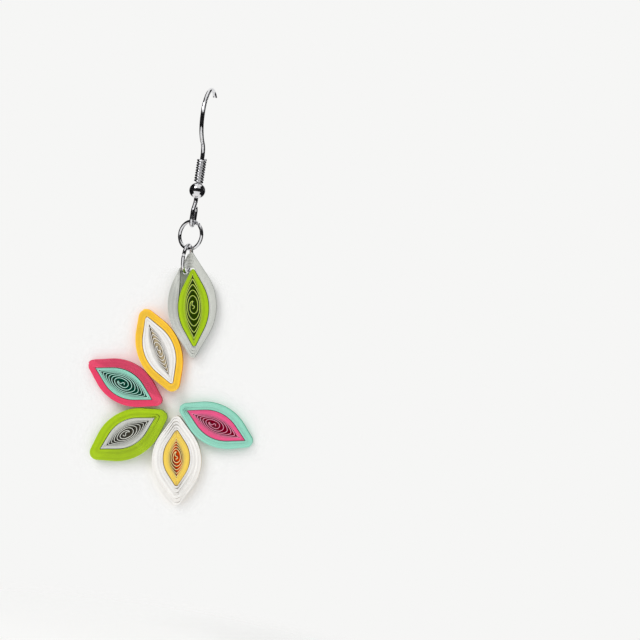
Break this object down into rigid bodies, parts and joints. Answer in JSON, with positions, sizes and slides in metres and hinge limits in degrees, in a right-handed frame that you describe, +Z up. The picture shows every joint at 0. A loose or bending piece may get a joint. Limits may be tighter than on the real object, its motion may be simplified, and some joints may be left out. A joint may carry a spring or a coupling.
{
  "type": "quilled paper drop earring",
  "caption": "Drop earring on a fish-hook ear wire: rolled two-colour paper leaves glued edge to edge in an open spray, hung from two jump rings.",
  "frame": {"origin": "where the ear carries the hook, under the top of its bend", "axes": "+Z up as the earring hangs, the leaves lie in the XZ plane and face -Y"},
  "size_m": [0.0288, 0.0092, 0.0689],
  "materials": {
    "silver_wire": "polished",
    "grey_paper": "matt",
    "green_paper": "matt",
    "yellow_paper": "matt",
    "white_paper": "matt",
    "pink_paper": "matt",
    "mint_paper": "matt"
  },
  "bodies": {
    "hook": {"ear_wire": "silver_wire", "wire_coil": "silver_wire", "bead": "silver_wire"},
    "upper_ring": {"upper_jump_ring": "silver_wire"},
    "lower_ring": {"lower_jump_ring": "silver_wire"},
    "spray": {"leaf_1_band": "grey_paper", "leaf_1_core": "green_paper", "leaf_2_band": "yellow_paper", "leaf_2_core": "white_paper", "leaf_3_band": "pink_paper", "leaf_3_core": "mint_paper", "leaf_4_band": "green_paper", "leaf_4_core": "grey_paper", "leaf_5_band": "white_paper", "leaf_5_core": "yellow_paper", "leaf_6_band": "mint_paper", "leaf_6_core": "pink_paper"}
  },
  "joints": [
    {"name": "upper_ring_swing", "type": "hinge", "parent": "hook", "child": "upper_ring", "pos_m": [0, 0, -0.02226], "axis": [0.5736, 0.8191, 0], "range_deg": [-45, 45]},
    {"name": "lower_ring_swing", "type": "hinge", "parent": "upper_ring", "child": "lower_ring", "pos_m": [0, 0, -0.02613], "axis": [0.9781, -0.2079, 0], "range_deg": [-45, 45]},
    {"name": "spray_swing", "type": "hinge", "parent": "lower_ring", "child": "spray", "pos_m": [0, 0, -0.03005], "axis": [0, 1, 0], "range_deg": [-40, 40]}
  ]
}
